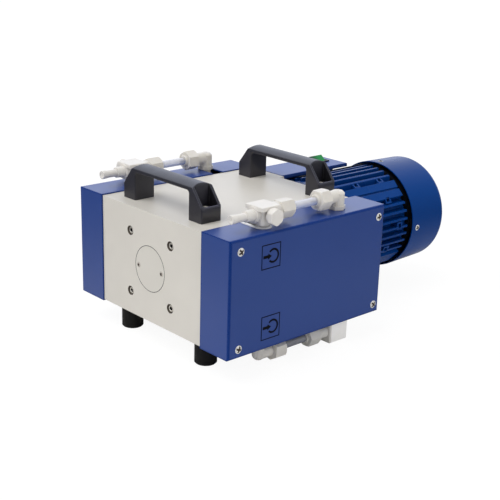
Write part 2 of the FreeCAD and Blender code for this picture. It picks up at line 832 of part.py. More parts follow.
lid = extrusion(
    "lid", "XZ",
    [("-lidLeft", "0"), ("-lidRight", "0"), ("-lidRight", "lidThickness"),
     ("lidBevel - lidLeft", "lidThickness"), ("-lidLeft", "lidThickness - lidBevelDrop")],
    "lidLength", "0", LID_START, LID_BASE)
lid_right = -read("lidRight")
lid_end = read("lidLength")
lid_top = read("lidThickness")


def lid_edge(edge):
    middle = edge.CenterOfMass
    right = along(edge, ALONG_Y) and abs(middle.x - lid_right) < 1e-6
    back = along(edge, ALONG_X) and abs(middle.y - lid_end) < 1e-6
    return (right or back) and abs(middle.z - lid_top) < 1e-6


round_edges(lid, "lidRounding", lid_edge)
WINDOW_WIDTH = "2 * (rockerRadius + rockerGap)"
WINDOW_LENGTH = "rockerWidth + 2 * rockerGap"
lid_window = box(
    "lid_window", "-switchX - (%s) / 2 - bezelSide" % WINDOW_WIDTH,
    "%s - (%s) / 2 - bezelSide" % (SWITCH, WINDOW_LENGTH), LID_BASE,
    WINDOW_WIDTH + " + 2 * bezelSide", WINDOW_LENGTH + " + 2 * bezelSide", "lidThickness")
publish("switch_box_lid", cut("switch_box_lid", lid, lid_window))

bezel_rim = box(
    "bezel_rim", "-switchX - bezelWidth / 2", SWITCH + " - bezelLength / 2", LID_TOP,
    "bezelWidth", "bezelLength", "bezelRim")
bezel_body = box(
    "bezel_body", "-switchX - (%s) / 2 - bezelSide" % WINDOW_WIDTH,
    "%s - (%s) / 2 - bezelSide" % (SWITCH, WINDOW_LENGTH), LID_TOP + " - bezelDepth",
    WINDOW_WIDTH + " + 2 * bezelSide", WINDOW_LENGTH + " + 2 * bezelSide", "bezelDepth")
bezel_window = box(
    "bezel_window", "-switchX - (%s) / 2" % WINDOW_WIDTH,
    "%s - (%s) / 2" % (SWITCH, WINDOW_LENGTH), LID_TOP + " - bezelDepth + bezelSide",
    WINDOW_WIDTH, WINDOW_LENGTH, "bezelDepth + bezelRim")
bezel_pin = rod(
    "bezel_pin", "Y", "-switchX", "%s - (%s) / 2" % (SWITCH, WINDOW_LENGTH),
    LID_TOP + " - rockerDrop", "rockerPin", WINDOW_LENGTH)
publish("switch_bezel", fuse(
    "switch_bezel", cut("bezel_frame", fuse("bezel_solid", bezel_rim, bezel_body), bezel_window),
    bezel_pin))

ROCKER_TURN = Rotation(ALONG_Y, read("rockerTilt"))
wedge = extrusion(
    "rocker_wedge", "XZ",
    [("-rockerRadius", "-rockerSkirt"), ("rockerRadius", "-rockerSkirt"),
     ("rockerRadius", "rockerEnd"), ("0", "rockerMiddle"), ("-rockerRadius", "rockerEnd")],
    "rockerWidth", "0", "-rockerWidth / 2")
sweep = rod("rocker_sweep", "Y", "0", "-rockerWidth / 2", "0", "rockerRadius", "rockerWidth")
pivot = rod(
    "rocker_pivot", "Y", "0", "-rockerWidth / 2", "0", "rockerPin + runningGap", "rockerWidth")
rocker = cut("rocker", common("rocker_form", wedge, sweep), pivot)
place(rocker, "-switchX", SWITCH, LID_TOP + " - rockerDrop", ROCKER_TURN)
publish("rocker", rocker)


def handle(name, station):
    """Bridge handle: straight posts with a pocketed slope, crowned grip between them."""
    half = "handleLength / 2"
    profile = extrusion(
        name + "_profile", "XZ",
        [("-" + half, "0"), ("postWidth - " + half, "0"), ("postWidth - " + half, "gripUnder"),
         (half + " - postWidth", "gripUnder"), (half + " - postWidth", "0"), (half, "0"),
         (half, "kneeHeight"), (half + " - handleRun", "gripTop"),
         ("handleRun - " + half, "gripTop"), ("-" + half, "kneeHeight")],
        "handleDepth", "0", "-handleDepth / 2")
    under = read("gripUnder")

    def knee(edge):
        middle = edge.CenterOfMass
        return along(edge, ALONG_Y) and abs(middle.z - under) < 1e-6

    round_edges(profile, "handleKnee", knee)

    def soft(edge):
        middle = edge.CenterOfMass
        inner = along(edge, ALONG_X) and abs(middle.z - under) < 1e-6
        corner = along(edge, ALONG_Z) and middle.z < under - 1
        return inner or corner

    round_edges(profile, "handleRounding", soft)
    crown = rod(
        name + "_crown", "X", "-" + half, "0", "gripTop - crownRadius", "crownRadius",
        "handleLength")
    pockets = [
        box(name + "_pocket_left", "pocketWall - " + half, "-pocketWidth / 2", "pocketFloor",
            "pocketInner - pocketWall", "pocketWidth", "gripTop"),
        box(name + "_pocket_right", half + " - pocketInner", "-pocketWidth / 2",
            "pocketFloor", "pocketInner - pocketWall", "pocketWidth", "gripTop"),
    ]
    made = cut(name, common(name + "_bar", profile, crown), *pockets)
    place(made, "-handleShift", station, DECK)
    return publish(name, made)


handle("front_handle", "frontHandleY")
handle("rear_handle", "caseDepth - rearHandleInset")

# The fluid line of a side runs through its tee, tube and elbows at the same distance out.
UPPER = DECK + " + upperLine"
LOWER = "footHeight - lowerLine"
HEAD_TOP = "footHeight + caseHeight - headMargin"
HEAD_FOOT = "footHeight + headMargin"
ON_COVER = DECK + " + sheet + fitGap"
TEE_FRONT = "frontHeadY - teeBody / 2"
TEE_REAR = "frontHeadY + teeBody / 2"
NUT_START = TEE_REAR + " + nutNeckLength"
BIG_NUT = REAR_HEAD + " - elbowRadius - elbowNeckLength"
TUBE_END = BIG_NUT + " + nutNoseLength"
PLUG_NECK = "teeTop - teePlate - 2 * fitGap"
PLUG_REACH = "(teeWidth - teeBody) / 2 + fitGap"
NECK_REACH = "(teeDepth - teeBody) / 2 + fitGap"
PLUG_HEAD = "fittingX + teeWidth / 2 + fitGap + plugCollarLength"


def hex_nut(name, x, start, level, radius, length, spin):
    """Hexagon along Y whose corners are turned down at both ends."""
    grip = hexagon(name + "_grip", "Y", x, start, level, radius, length, spin)
    form = turned(
        name + "_form", "Y",
        [("0", "0"), ("0", "%s - nutBevel" % radius), ("nutBevel", radius),
         ("%s - nutBevel" % length, radius), (length, "%s - nutBevel" % radius),
         (length, "0")],
        x, start, level)
    return common(name, grip, form)


def fittings(label, side):
    x = "%d * fittingX" % side
    spin = 0 if side > 0 else 30

    nozzle = turned(
        label + "_nozzle", "Y",
        [("-nozzleLength", "nozzleBore"), ("-nozzleLength", "nozzleTip"),
         ("nozzleTipLength - nozzleLength", "nozzleTip"),
         ("nozzleTipLength + nozzleEase - nozzleLength", "nozzleWaist"),
         ("-nozzleCollarLength - nozzleStepLength", "nozzleWaist"),
         ("-nozzleCollarLength - nozzleStepLength", "nozzleStep"),
         ("-nozzleCollarLength", "nozzleRoot"), ("-nozzleCollarLength", "nozzleCollar"),
         ("0", "nozzleCollar"), ("0", "nozzleBore")],
        x, TEE_FRONT, UPPER)
    plate = extrusion(
        label + "_plate", "XY",
        [("-teeWidth / 2", "-teeDepth / 2"), ("teeWidth / 2", "-teeDepth / 2"),
         ("teeWidth / 2", "teeDepth / 2"), ("-teeWidth / 2", "teeDepth / 2")],
        "teePlate", x, "frontHeadY", UPPER + " + teeTop - teePlate")
    round_edges(plate, "teeRounding", lambda edge: True)
    column = extrusion(
        label + "_column", "XY",
        [("-teeBody / 2", "-teeBody / 2"), ("teeBody / 2", "-teeBody / 2"),
         ("teeBody / 2", "teeBody / 2"), ("-teeBody / 2", "teeBody / 2")],
        "upperLine + teeTop - teePlate / 2 - sheet - teeLift", x, "frontHeadY",
        DECK + " + sheet + teeLift")
    round_edges(column, "teeBodyRounding", lambda edge: along(edge, ALONG_Z))
    stem = rod(
        label + "_stem", "Z", x, "frontHeadY", HEAD_TOP, "stemRadius",
        UPPER + " - (%s)" % HEAD_TOP)
    hole = rod(
        label + "_tee_hole", "Y", x, TEE_FRONT + " - nozzleLength", UPPER, "nozzleBore",
        "nozzleLength + teeBody / 2")
    publish("tee_" + label, cut(
        "tee_" + label, fuse(label + "_tee_solid", plate, column, stem, nozzle), hole))

    outward = Rotation() if side > 0 else HALF_TURN
    collar_part = turned(
        label + "_plug_collar", "X",
        [("0", "0"), ("0", PLUG_NECK), (PLUG_REACH, PLUG_NECK), (PLUG_REACH, "plugCollar"),
         (PLUG_REACH + " + plugCollarLength", "plugCollar"),
         (PLUG_REACH + " + plugCollarLength + plugBevel", "plugCollar - plugBevel"),
         (PLUG_REACH + " + plugCollarLength + plugBevel", "0")],
        "%d * (fittingX + teeBody / 2)" % side, "frontHeadY", UPPER, outward)
    head_form = turned(
        label + "_plug_form", "X",
        [("0", "0"), ("0", "plugHexRadius"), ("plugHexLength - plugBevel", "plugHexRadius"),
         ("plugHexLength", "plugHexRadius - plugBevel"), ("plugHexLength", "0")],
        "%d * (%s)" % (side, PLUG_HEAD), "frontHeadY", UPPER, outward)
    plug_hex = hexagon(
        label + "_plug_hex", "X", PLUG_HEAD if side > 0 else "-(%s) - plugHexLength" % PLUG_HEAD,
        "frontHeadY", UPPER, "plugHexRadius", "plugHexLength")
    publish("plug_" + label, fuse(
        "plug_" + label, collar_part, common(label + "_plug_head", plug_hex, head_form)))

    neck = turned(
        label + "_nut_neck", "Y",
        [("0", "0"), ("0", PLUG_NECK), (NECK_REACH, PLUG_NECK), (NECK_REACH, "nutNeck"),
         ("nutNeckLength", "nutNeck"), ("nutNeckLength", "0")],
        x, TEE_REAR, UPPER)
    grip = hex_nut(
        label + "_nut", x, NUT_START, UPPER, "nutRadius", "nutLength", spin)
    taper = turned(
        label + "_nut_taper", "Y",
        [("0", "0"), ("0", "nutNose + nutBevel"), ("nutNoseLength", "nutNose"),
         ("nutNoseLength", "0")],
        x, NUT_START + " + nutLength", UPPER)
    passage = rod(
        label + "_nut_passage", "Y", x, NUT_START, UPPER, "tubeRadius",
        "nutLength + nutNoseLength")
    publish("union_nut_" + label, cut(
        "union_nut_" + label, fuse(label + "_nut_solid", neck, grip, taper), passage))

    publish("tube_upper_" + label, turned(
        "tube_upper_" + label, "Y",
        [("0", "tubeRadius - tubeWall"), ("0", "tubeRadius"),
         ("%s - (%s)" % (TUBE_END, NUT_START), "tubeRadius"),
         ("%s - (%s)" % (TUBE_END, NUT_START), "tubeRadius - tubeWall")],
        x, NUT_START, UPPER))

    nose = turned(
        label + "_big_nose", "Y",
        [("0", "0"), ("0", "nutNose"), ("nutNoseLength", "nutNose + nutBevel"),
         ("nutNoseLength", "0")],
        x, BIG_NUT + " - nutNoseLength", UPPER)
    big = hex_nut(
        label + "_big", x, BIG_NUT, UPPER, "bigNutRadius", "bigNutLength", spin)
    seat = rod(
        label + "_big_passage", "Y", x, BIG_NUT + " - nutNoseLength", UPPER, "tubeRadius",
        "2 * nutNoseLength")
    publish("tube_nut_" + label, cut(
        "tube_nut_" + label, fuse(label + "_big_solid", nose, big), seat))

    arm = rod(
        label + "_elbow_arm", "Y", x, BIG_NUT + " + bigNutLength", UPPER, "elbowNeck",
        "elbowNeckLength - bigNutLength + elbowRadius")
    barrel = rod(
        label + "_elbow_barrel", "Z", x, REAR_HEAD, HEAD_TOP, "stemRadius",
        UPPER + " - (%s)" % HEAD_TOP)
    knob = turned(
        label + "_elbow_knob", "Z",
        [("0", "0"), ("0", "elbowRadius"),
         ("upperLine + elbowCrown - sheet - fitGap - elbowDome", "elbowRadius"),
         ("upperLine + elbowCrown - sheet - fitGap", "elbowRadius - elbowDome"),
         ("upperLine + elbowCrown - sheet - fitGap", "0")],
        x, REAR_HEAD, ON_COVER)
    foot = hexagon(
        label + "_elbow_foot", "Z", x, REAR_HEAD, ON_COVER, "elbowHexRadius",
        "elbowHexHeight")
    publish("elbow_upper_" + label, fuse("elbow_upper_" + label, arm, barrel, knob, foot))

    drop = rod(
        label + "_low_drop", "Z", x, "frontHeadY", LOWER, "stemRadius",
        HEAD_FOOT + " - (%s)" % LOWER)
    ball = doc.addObject("Part::Sphere", label + "_low_ball")
    bind(ball, Radius="lowBallRadius")
    place(ball, x, "frontHeadY", LOWER)
    low_arm = rod(
        label + "_low_arm", "Y", x, "frontHeadY", LOWER, "lowArmRadius", "lowNutStart")
    publish("elbow_lower_" + label, fuse("elbow_lower_" + label, drop, ball, low_arm))

    start = "frontHeadY + lowNutStart"
    finish = LOW_PORT + " - outletLength / 2 - outletNeckLength"
    nut = hex_nut(label + "_low_nut", x, start, LOWER, "lowNutRadius", "lowNutLength", 30)
    nut_way = rod(
        label + "_low_way", "Y", x, start, LOWER, "tubeRadius", "lowNutLength")
    publish("nut_lower_" + label, cut("nut_lower_" + label, nut, nut_way))

    publish("tube_lower_" + label, turned(
        "tube_lower_" + label, "Y",
        [("0", "tubeRadius - tubeWall"), ("0", "tubeRadius"),
         ("%s - (%s)" % (finish, start), "tubeRadius"),
         ("%s - (%s)" % (finish, start), "tubeRadius - tubeWall")],
        x, start, LOWER))

    outlet = extrusion(
        label + "_outlet", "XY",
        [("-outletWidth / 2", "-outletLength / 2"), ("outletWidth / 2", "-outletLength / 2"),
         ("outletWidth / 2", "outletLength / 2"), ("-outletWidth / 2", "outletLength / 2")],
        "outletHeight", x, LOW_PORT, LOWER + " - outletHeight / 2")
    round_edges(outlet, "outletRounding", lambda edge: True)
    riser = rod(
        label + "_riser", "Z", x, LOW_PORT, LOWER, "stemRadius",
        HEAD_FOOT + " - (%s)" % LOWER)
    inlet = rod(
        label + "_outlet_neck", "Y", x, finish, LOWER, "elbowNeck",
        "outletNeckLength + outletLength / 2")
    rear_hex = hex_nut(
        label + "_outlet_nut", x, finish + " - lowRearNutLength", LOWER,
        "lowRearNutRadius", "lowRearNutLength", 0)
    rear_nose = rod(
        label + "_outlet_nose", "Y", x, finish + " - lowRearNutLength - nutNoseLength",
        LOWER, "nutNose", "nutNoseLength")
    rear_way = rod(
        label + "_outlet_way", "Y", x, finish + " - lowRearNutLength - nutNoseLength",
        LOWER, "tubeRadius", "lowRearNutLength + nutNoseLength")
    port = rod(
        label + "_outlet_port", "Y", x,
        LOW_PORT + " + outletLength / 2 - outletBoreDepth", LOWER, "outletBore",
        "outletBoreDepth")
    publish("outlet_" + label, cut(
        "outlet_" + label,
        fuse(label + "_outlet_solid", outlet, riser, inlet, rear_hex, rear_nose),
        rear_way, port))


fittings("right", 1)
fittings("left", -1)

doc.recompute()
faults = []
for item in doc.Objects:
    if {"Invalid", "Error"} & set(item.State):
        faults.append("%s: %s" % (item.Name, item.State))
for node in nodes:
    shape = node.Shape
    if shape.isNull() or not shape.isValid() or not shape.Solids:
        faults.append("%s has no sound shape" % node.Label)
    elif len(shape.Solids) > 1:
        faults.append("%s is %d solids" % (node.Label, len(shape.Solids)))
if faults:
    raise RuntimeError("; ".join(faults))

os.makedirs("parts", exist_ok=True)
for node in nodes:
    node.Shape.exportStep("parts/%s.step" % node.Label)
print("%d pieces written" % len(nodes))
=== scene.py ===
import json
import math

import bmesh
import bpy
import numpy as np
from mathutils import Matrix, Vector


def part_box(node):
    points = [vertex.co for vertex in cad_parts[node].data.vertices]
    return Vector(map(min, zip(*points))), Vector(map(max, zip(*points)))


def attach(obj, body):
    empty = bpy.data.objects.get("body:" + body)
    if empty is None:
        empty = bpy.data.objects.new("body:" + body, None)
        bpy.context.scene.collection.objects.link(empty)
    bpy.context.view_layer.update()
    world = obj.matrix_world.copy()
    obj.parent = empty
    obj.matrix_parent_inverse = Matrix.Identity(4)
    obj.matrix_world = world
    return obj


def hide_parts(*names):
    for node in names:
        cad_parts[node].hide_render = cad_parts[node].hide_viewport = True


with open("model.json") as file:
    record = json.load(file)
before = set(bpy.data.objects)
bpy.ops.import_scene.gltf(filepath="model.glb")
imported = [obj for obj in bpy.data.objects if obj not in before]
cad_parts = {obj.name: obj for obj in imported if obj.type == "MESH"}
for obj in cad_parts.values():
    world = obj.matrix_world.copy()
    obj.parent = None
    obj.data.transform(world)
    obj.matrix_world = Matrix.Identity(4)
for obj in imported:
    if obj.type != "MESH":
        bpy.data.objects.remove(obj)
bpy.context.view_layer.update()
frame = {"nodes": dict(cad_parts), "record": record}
nodes = frame["nodes"]
print("frame loaded:", len(nodes), "pieces")


# shader sockets and expressions

class Wire:  # one output socket; arithmetic on it adds Math nodes
    def __init__(self, finish, socket):
        self.finish = finish
        self.socket = socket

    def math(self, operation, other=0.0):
        return self.finish.add("Math", {"operation": operation}, {0: self, 1: other})

    def __add__(self, other):
        return self.math("ADD", other)

    def __mul__(self, other):
        return self.math("MULTIPLY", other)

    def __pow__(self, other):
        return self.math("POWER", other)

    __radd__ = __add__
    __rmul__ = __mul__


def shade(colour, factor=1.0):
    return tuple(min(1.0, part * factor) for part in colour) + (1.0,)


edgeLook = {"samples": 6, "bent": 0.7, "flat": 0.995, "power": 6, "slanted": 0.35,
            "straight": 0.9}
noiseLook = {"roughness": 0.55, "least": 0.3, "most": 0.7}


class Finish:  # a material, or the world's light, being built
    def __init__(self, name, kind="materials", coordinates="Object"):
        self.owner = getattr(bpy.data, kind).new(name)
        self.owner.use_nodes = True
        self.tree = self.owner.node_tree
        self.tree.nodes.clear()
        self.place = self.add("TexCoord", output=coordinates)

    def add(self, kind, settings=None, sockets=None, output=0):
        node = self.tree.nodes.new("ShaderNode" + kind)
        for key, value in (settings or {}).items():
            setattr(node, key, value)
        for key, value in (sockets or {}).items():
            if isinstance(value, Wire):
                self.tree.links.new(value.socket, node.inputs[key])
            else:
                node.inputs[key].default_value = value
        return Wire(self, node.outputs[output] if node.outputs else None)

    def along(self, axis, vector=None):  # one coordinate of a vector, or else of the place
        return self.add("SeparateXYZ", None, {"Vector": vector or self.place}, axis)

    def noise(self, scale, detail=3.0):
        return self.add("TexNoise", None, {
            "Vector": self.place, "Scale": scale, "Detail": detail,
            "Roughness": noiseLook["roughness"]})

    def ramp(self, value, low, high, start=0.0, end=1.0, kind="LINEAR"):
        # value from low..high to start..end
        return self.add("MapRange", {"clamp": True, "interpolation_type": kind}, {
            "Value": value, "From Min": low, "From Max": high, "To Min": start, "To Max": end})

    def spread(self, noise, start=0.0, end=1.0):  # a noise's usual range to start..end
        return self.ramp(noise, noiseLook["least"], noiseLook["most"], start, end)

    def mix(self, share, first, second):  # colours
        return self.add("Mix", {"data_type": "RGBA"}, {
            "Factor": share, 6: first, 7: second}, output=2)

    def shades(self, share, colour, low, high):  # from one shade of a colour to another
        return self.mix(share, shade(colour, low), shade(colour, high))

    def rounded(self, radius):  # the normal, as if edges were rounded to that radius
        return self.add("Bevel", {"samples": edgeLook["samples"]}, {"Radius": radius})

    def edges(self, radius):  # rounded normal, and how near the point is to an edge
        soft = self.rounded(radius)
        flat = self.add("NewGeometry", output="Normal")
        share = self.add("VectorMath", {"operation": "DOT_PRODUCT"}, {0: soft, 1: flat}, "Value")
        return soft, self.ramp(share, edgeLook["bent"], edgeLook["flat"], 1.0, 0.0)

    def slant(self, radius):
        # 1 where the rounded normal lies between two axes, 0 along any axis: a sum of powers
        normal = self.rounded(radius)
        parts = [self.along(axis, normal) for axis in "XYZ"]
        x, y, z = (part.math("ABSOLUTE") ** edgeLook["power"] for part in parts)
        return self.ramp(x + y + z, edgeLook["slanted"], edgeLook["straight"], 1.0, 0.0)

    def bump(self, height, distance, strength, normal):
        return self.add("Bump", None, {
            "Height": height, "Distance": distance, "Strength": strength, "Normal": normal})

    def shader(self, **sockets):
        return self.add("BsdfPrincipled", None, {
            key.replace("_", " "): value for key, value in sockets.items()})

    def close(self, surface, kind="OutputMaterial"):
        self.add(kind, None, {"Surface": surface})
        return self.owner


paints = {  # bend is the colour painted on rounded corners, which have a gloss and a reach of their own: a painted shade on the covers' bends, a painted highlight on the motor's, housing's and disc's
    "housingPaint": {
        "colour": (0.690, 0.660, 0.605), "roughness": 0.42, "gloss": 0.38,
        "bend": (0.70, 0.68, 0.63), "bendGloss": 0.5, "reach": 0.0006,
        "ripple": 900, "height": 0.00002, "edge": 0.0006},
    "coverPaint": {
        "colour": (0.0165, 0.055, 0.255), "roughness": 0.34, "gloss": 0.48,
        "bend": (0.0010, 0.027, 0.182), "bendGloss": 0.05, "reach": 0.0034,
        "ripple": 700, "height": 0.00003, "edge": 0.0009},
    "motorPaint": {
        "colour": (0.0010, 0.040, 0.203), "roughness": 0.28, "gloss": 0.12,
        "bend": (0.0022, 0.049, 0.240), "bendGloss": 0.10, "reach": 0.0007,
        "ripple": 500, "height": 0.00003, "edge": 0.0007},
    "discPaint": {
        "colour": (0.675, 0.648, 0.592), "roughness": 0.42, "gloss": 0.5,
        "bend": (0.70, 0.68, 0.63), "bendGloss": 0.5, "reach": 0.0005,
        "ripple": 900, "height": 0.00002, "edge": 0.0005},
}
paintLook = {"cloud": 9, "detail": 4, "shades": (0.96, 1.04), "paintedEdge": 0.35, "highlightShade": 1.7,
             "rough": (-0.03, 0.04), "strength": 0.6}


def paintFinish(name, colour, roughness, gloss, bend, bendGloss, reach, ripple, height, edge):
    # two paints, one for flat places and one for bends, shared out by the slant of the surface;
    # the bends' colour is painted light and shade
    f = Finish(name)
    look = paintLook
    soft, rim = f.edges(edge)
    cloud = f.noise(look["cloud"], look["detail"])
    # edges paler, a painted highlight along them
    paintedEdge = rim * look["paintedEdge"]
    pale = shade(colour, look["highlightShade"])
    rough = f.spread(cloud, *(roughness + part for part in look["rough"]))
    normal = f.bump(f.noise(ripple, 2), height, look["strength"], soft)
    flat = f.shader(
        Base_Color=f.mix(paintedEdge, f.shades(f.spread(cloud), colour, *look["shades"]), pale),
        Roughness=rough, Normal=normal, Specular_IOR_Level=gloss)
    bent = f.shader(
        Base_Color=f.mix(paintedEdge, shade(bend), pale),
        Roughness=rough, Normal=normal, Specular_IOR_Level=bendGloss)
    return f.close(f.add("MixShader", None, {0: f.slant(reach), 1: flat, 2: bent}))


plastics = {  # the edge paleness says how much paler an edge is painted: a painted highlight along the edges
    "footRubber": {
        "colour": (0.0068, 0.0064, 0.0066), "roughness": 0.62, "gloss": 0.22,
        "grain": 1400, "height": 0.00003, "edge": 0.0008},
    "handlePlastic": {
        "colour": (0.0165, 0.0158, 0.0255), "roughness": 0.43, "gloss": 0.79,
        "grain": 2600, "height": 0.00006, "edge": 0.0012, "rubbed": 9.0},
    # darker than the handle: painted shade inside the pockets
    "pocketPlastic": {
        "colour": (0.010, 0.010, 0.013), "roughness": 0.5,
        "grain": 2600, "height": 0.00006, "edge": 0.0008, "rubbed": 3.0},
    "fittingPlastic": {
        "colour": (0.82, 0.79, 0.745), "roughness": 0.38, "gloss": 0.4,
        "grain": 1500, "height": 0.00002, "edge": 0.0006, "Subsurface_Weight": 0.12,
        "Subsurface_Radius": (0.003, 0.003, 0.0026), "Subsurface_Scale": 1.0},
    # a painted glow for the inside of the nozzle bores
    "boreGlow": {
        "colour": (0.62, 0.61, 0.59), "roughness": 0.5,
        "Emission_Color": (1.0, 0.98, 0.95, 1), "Emission_Strength": 0.22},
    "headPlastic": {
        "colour": (0.76, 0.76, 0.73), "roughness": 0.45, "height": 0.00003, "edge": 0.0005},
    "diaphragmFace": {
        "colour": (0.66, 0.65, 0.60), "roughness": 0.55, "height": 0.00002, "edge": 0.0004},
    "fanPlastic": {
        "colour": (0.02, 0.02, 0.022), "roughness": 0.5, "height": 0.00004, "edge": 0.0005},
    "switchBlack": {
        "colour": (0.008, 0.008, 0.011), "roughness": 0.32, "gloss": 0.12, "edge": 0.0004},
    # near black: a painted shade where the rear shield shows between fins and cowl
    "shieldDark": {
        "colour": (0.004, 0.005, 0.008), "roughness": 0.6, "gloss": 0.2,
        "height": 0.00003, "edge": 0.0004},
    # painted shade in the cover and disc screws' cross recesses
    "recessBrown": {"colour": (0.042, 0.024, 0.014), "roughness": 0.5},
    # painted shade lining the counterbores' walls
    "boreBrown": {"colour": (0.13, 0.11, 0.085), "roughness": 0.5},
    "screwPale": {"colour": (0.54, 0.50, 0.45), "roughness": 0.4, "edge": 0.0003},
    # painted shade in screw recesses and sockets and on the screws deep in the handle pockets;
    # also the dark disc seam
    "recessDark": {"colour": (0.010, 0.010, 0.012), "roughness": 0.5},
    # ink for the signs, and a painted shade for the strip on the motor's top fins
    "signInk": {
        "colour": (0.0025, 0.003, 0.006), "roughness": 0.6, "gloss": 0.1,
        "grain": 800, "edge": 0.0001},
    "slotEdging": {"colour": (0.92, 0.92, 0.91), "roughness": 0.25},
}
plasticLook = {"cloud": 40, "shades": (0.95, 1.05), "paintedEdge": 0.8, "rough": (-0.04, 0.04),
               "strength": 0.8}


def plasticFinish(name, colour, roughness, gloss=0.5, grain=900, height=0.00001, edge=0.0002,
                  rubbed=1.15, **more):
    f = Finish(name)
    look = plasticLook
    soft, rim = f.edges(edge)
    cloud = f.noise(look["cloud"])
    base = f.shades(f.spread(cloud), colour, *look["shades"])
    # edges paler, a painted highlight along them
    return f.close(f.shader(
        Base_Color=f.mix(rim * look["paintedEdge"], base, shade(colour, rubbed)),
        Roughness=f.spread(cloud, *(roughness + part for part in look["rough"])),
        Normal=f.bump(f.noise(grain), height, look["strength"], soft),
        Specular_IOR_Level=gloss, **more))


metals = {  # along is how fine the tool marks are in X, Y and Z
    "headMetal": {"colour": (0.62, 0.62, 0.64), "roughness": 0.38, "along": (20, 20, 600)},
    "rodMetal": {"colour": (0.58, 0.58, 0.60), "roughness": 0.36, "along": (200, 40, 200)},
    "groundSteel": {"colour": (0.55, 0.55, 0.56), "roughness": 0.24, "along": (60, 900, 60)},
    "coreSteel": {"colour": (0.20, 0.20, 0.21), "roughness": 0.5, "along": (20, 1800, 20)},
    "brightNickel": {
        "colour": (0.90, 0.88, 0.83), "roughness": 0.3, "along": (300, 300, 300),
        "edge": 0.0002, "metallic": 0.25},
    "zincScrew": {"colour": (0.42, 0.41, 0.39), "roughness": 0.34, "along": (300, 300, 300)},
    "screwSteel": {
        "colour": (0.66, 0.63, 0.57), "roughness": 0.30, "along": (300, 300, 300),
        "metallic": 0.6},
}
metalLook = {"detail": 4.0, "fineness": 0.6, "span": (0.35, 0.65), "shades": (0.85, 1.08),
             "rough": (-0.07, 0.1), "height": 0.00003, "strength": 0.4}


def metalFinish(name, colour, roughness, along, edge=0.0003, metallic=1.0):
    f = Finish(name)
    look = metalLook
    turned = f.add("Mapping", None, {"Vector": f.place, "Scale": along})
    lines = f.add("TexNoise", None, {
        "Vector": turned, "Scale": 1.0, "Detail": look["detail"], "Roughness": look["fineness"]})
    return f.close(f.shader(
        Base_Color=f.shades(f.ramp(lines, *look["span"]), colour, *look["shades"]),
        Roughness=f.spread(lines, *(roughness + part for part in look["rough"])),
        Metallic=metallic,
        Normal=f.bump(lines, look["height"], look["strength"], f.rounded(edge))))


nutLook = {
    "colour": (0.80, 0.765, 0.705), "cloud": 60, "shades": (0.94, 1.04), "pitch": 0.0018,
    "thread": 0.34, "threadShade": 0.72, "paintedEdge": 0.4, "highlightShade": 1.25, "edge": 0.0005,
    "grain": 1500, "height": 0.00002, "strength": 0.5, "roughness": 0.36, "milky": 0.35,
    "milk": (0.004, 0.0038, 0.0032)}


def nutFinish(name):
    # milky plastic with the thread inside showing through: a sine along Y, one wave to a pitch
    f = Finish(name)
    look = nutLook
    soft, rim = f.edges(look["edge"])
    wave = (f.along("Y") * (2 * math.pi / look["pitch"])).math("SINE")
    base = f.shades(f.spread(f.noise(look["cloud"])), look["colour"], *look["shades"])
    base = f.mix(f.ramp(wave, -1, 1, 0.0, look["thread"]), base,
                 shade(look["colour"], look["threadShade"]))
    # edges paler, a painted highlight along them
    base = f.mix(rim * look["paintedEdge"], base, shade(look["colour"], look["highlightShade"]))
    return f.close(f.shader(
        Base_Color=base, Roughness=look["roughness"],
        Normal=f.bump(f.noise(look["grain"], 2), look["height"], look["strength"], soft),
        Subsurface_Weight=look["milky"], Subsurface_Radius=look["milk"], Subsurface_Scale=1.0))


# the colour beneath is a painted tint and the colour above a painted highlight; tubeShaded is a
# darker copy, painted shade for the lower tubes under the covers
tubes = {
    "tubePlastic": {"under": (0.42, 0.50, 0.78), "over": (0.93, 0.93, 0.97), "least": 0.34},
    "tubeShaded": {"under": (0.26, 0.27, 0.31), "over": (0.40, 0.40, 0.42), "least": 0.75},
}
tubeLook = {"blend": 0.35, "rim": (0.15, 0.85), "most": 0.92, "cloud": 120, "stir": 0.3,
            "turn": (-0.2, 0.75), "roughness": 0.16, "bending": 1.46}


def tubeFinish(name, under, over, least):
    # clear hose: bluer underneath, a painted tint of the cover seen through it; white above, a
    # painted highlight; whiter where it is seen edge on
    f = Finish(name)
    look = tubeLook
    rim = f.add("LayerWeight", None, {"Blend": look["blend"]}, "Facing")
    up = f.along("Z", f.add("NewGeometry", output="Normal"))
    height = up + f.noise(look["cloud"], 2) * look["stir"]
    return f.close(f.shader(
        Base_Color=f.mix(f.ramp(height, *look["turn"]), shade(under), shade(over)),
        Roughness=look["roughness"], Alpha=f.ramp(rim, *look["rim"], least, look["most"]),
        IOR=look["bending"]))


outletLook = {
    "front": (0.72, 0.70, 0.655), "block": (0.95, 0.93, 0.90), "cloudy": (0.60, 0.58, 0.54),
    "start": 0.57, "fade": 0.001, "cloud": 40, "most": 0.06, "edge": 0.0006, "grain": 1500,
    "height": 0.00002, "strength": 0.8, "roughness": 0.36, "gloss": 0.4,
    "glow": (1, 0.98, 0.95), "glowing": 0.10}


def outletFinish(name):  # nut coloured in front; white where the block starts, with a painted glow: painted light on the block's lit side
    f = Finish(name)
    look = outletLook
    low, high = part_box("outlet_right")
    start = low.y + look["start"] * (high.y - low.y)
    share = f.ramp(f.along("Y"), start, start + look["fade"])
    cloud = f.spread(f.noise(look["cloud"]), 0.0, look["most"])
    base = f.mix(share, shade(look["front"]), shade(look["block"]))
    return f.close(f.shader(
        Base_Color=f.mix(cloud, base, shade(look["cloudy"])), Roughness=look["roughness"],
        Normal=f.bump(f.noise(look["grain"]), look["height"], look["strength"],
                      f.rounded(look["edge"])),
        Emission_Color=f.mix(share, shade((0, 0, 0)), shade(look["glow"])),
        Emission_Strength=look["glowing"], Specular_IOR_Level=look["gloss"]))


